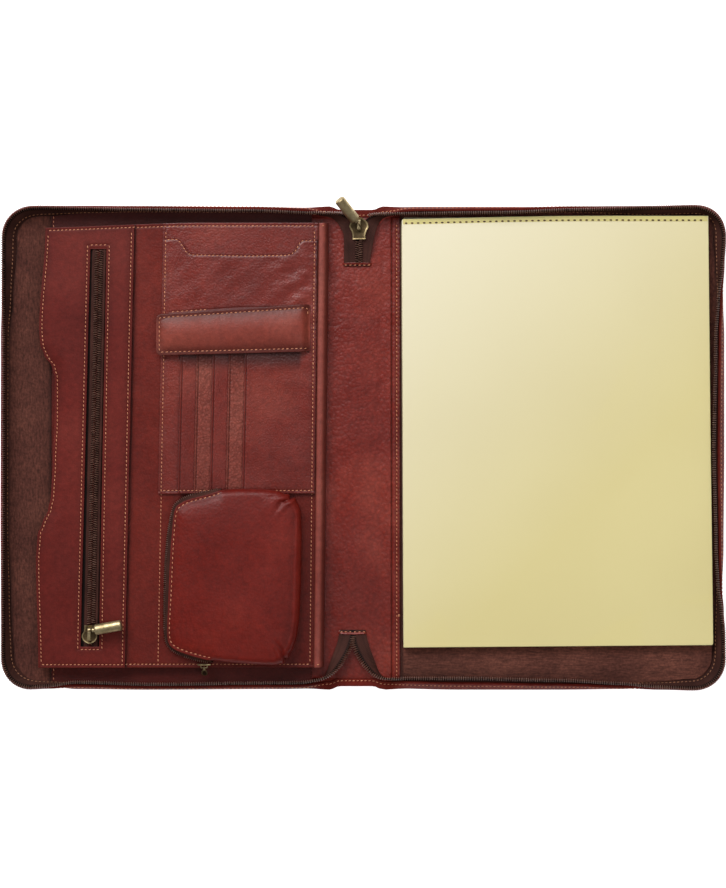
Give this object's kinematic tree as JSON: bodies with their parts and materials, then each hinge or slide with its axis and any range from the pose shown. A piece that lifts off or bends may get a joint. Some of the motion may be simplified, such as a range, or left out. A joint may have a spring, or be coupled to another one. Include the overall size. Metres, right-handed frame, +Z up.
{
  "type": "zippered portfolio",
  "caption": "Zip-around leather portfolio lying open flat, with an organizer of pockets and a zipped pouch on one cover and a writing pad on the other.",
  "frame": {"origin": "on the surface it lies on, under the spine, midway along the spine's length and close to midway across the open covers", "axes": "+X from the organizer cover to the pad cover, +Y to the head of the pages, +Z up out of the open portfolio"},
  "size_m": [0.5039, 0.3419, 0.0255],
  "materials": {
    "outer_leather": "satin",
    "leather": "satin",
    "lining": "matte",
    "zip_tape": "matte",
    "zip_teeth": "satin",
    "brass": "worn",
    "paper": "matte",
    "board": "matte"
  },
  "bodies": {
    "portfolio": {"outer_cover": "outer_leather", "zip_tape_left": "zip_tape", "zip_coil_left": "zip_teeth", "zip_tape_right": "zip_tape", "zip_coil_right": "zip_teeth", "lining_left": "lining", "base_leather": "leather", "spine_lining": "leather", "lining_right": "lining", "zip_chain_end": "zip_teeth", "organizer_gusset": "leather", "organizer_panel": "leather", "edge_roll": "leather", "zip_pocket_front": "leather", "pocket_tape_left": "zip_tape", "pocket_tape_right": "zip_tape", "pocket_zip_coil": "zip_teeth", "card_backing": "leather", "scoop_pocket": "leather", "card_strip_1": "leather", "card_strip_2": "leather", "card_strip_3": "leather", "card_strip_4": "leather", "card_front": "leather", "flap": "leather", "pouch_shell": "leather", "pouch_zip_band": "zip_tape", "pad_board": "board", "pad_pocket": "lining", "pad_paper": "paper", "main_slider": "brass", "pocket_slider": "brass", "pouch_slider": "brass"},
    "main_pull": {"main_pull": "brass"},
    "pocket_pull": {"pocket_pull": "brass"},
    "pouch_pull": {"pouch_pull": "brass"}
  },
  "joints": [
    {"name": "main_pull_swing", "type": "hinge", "parent": "portfolio", "child": "main_pull", "pos_m": [-0.0032, 0.1548, 0.01325], "axis": [0.7716, 0.6361, 0], "range_deg": [0, 136]},
    {"name": "pocket_pull_swing", "type": "hinge", "parent": "portfolio", "child": "pocket_pull", "pos_m": [-0.1895, -0.1262, 0.01956], "axis": [0.1805, -0.9836, 0], "range_deg": [0, 174]},
    {"name": "pouch_pull_swing", "type": "hinge", "parent": "portfolio", "child": "pouch_pull", "pos_m": [-0.1102, -0.15217, 0.0166], "axis": [-1, 0, 0], "range_deg": [0, 130]}
  ]
}
